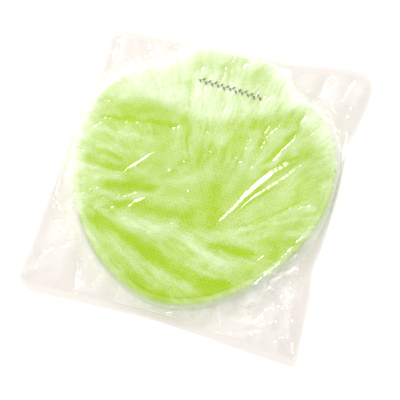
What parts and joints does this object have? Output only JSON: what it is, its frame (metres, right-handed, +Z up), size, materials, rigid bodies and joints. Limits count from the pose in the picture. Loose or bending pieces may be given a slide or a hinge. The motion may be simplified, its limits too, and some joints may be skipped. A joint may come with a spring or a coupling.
{
  "type": "bagged scented screen mat",
  "caption": "Soft egg-shaped perforated screen mat with a rounded tab, rim and stand-off feet, sealed in a clear, crumpled flat film bag.",
  "frame": {"origin": "on the surface the bag lies on, under the middle of the bag", "axes": "+Z up through the mat, +Y along the bag towards its mouth seal and the mat's tab, +X to the right seen from above"},
  "size_m": [0.19, 0.227, 0.0128],
  "materials": {
    "clear_film": "thin clear soft plastic film, glossy, crumpled and slightly hazy",
    "weld": "fused film seam, glossy, a little cloudier than the film",
    "mat": "soft moulded lime-green plastic, satin, slightly translucent"
  },
  "bodies": {
    "root": {"bag_front_film": "clear_film", "bag_back_film": "clear_film", "bottom_end_seal": "weld", "right_side_weld": "weld", "mouth_seal": "weld", "left_side_weld": "weld", "mat_rim": "mat", "mat_mesh_panel": "mat", "mat_foot_01": "mat", "mat_foot_02": "mat", "mat_foot_03": "mat", "mat_foot_04": "mat", "mat_foot_05": "mat", "mat_foot_06": "mat", "mat_foot_07": "mat", "mat_foot_08": "mat", "mat_foot_09": "mat", "mat_foot_10": "mat", "mat_foot_11": "mat", "mat_foot_12": "mat", "mat_foot_13": "mat", "mat_foot_14": "mat", "mat_foot_15": "mat", "mat_foot_16": "mat", "mat_foot_17": "mat", "mat_foot_18": "mat", "mat_foot_19": "mat"}
  },
  "joints": []
}
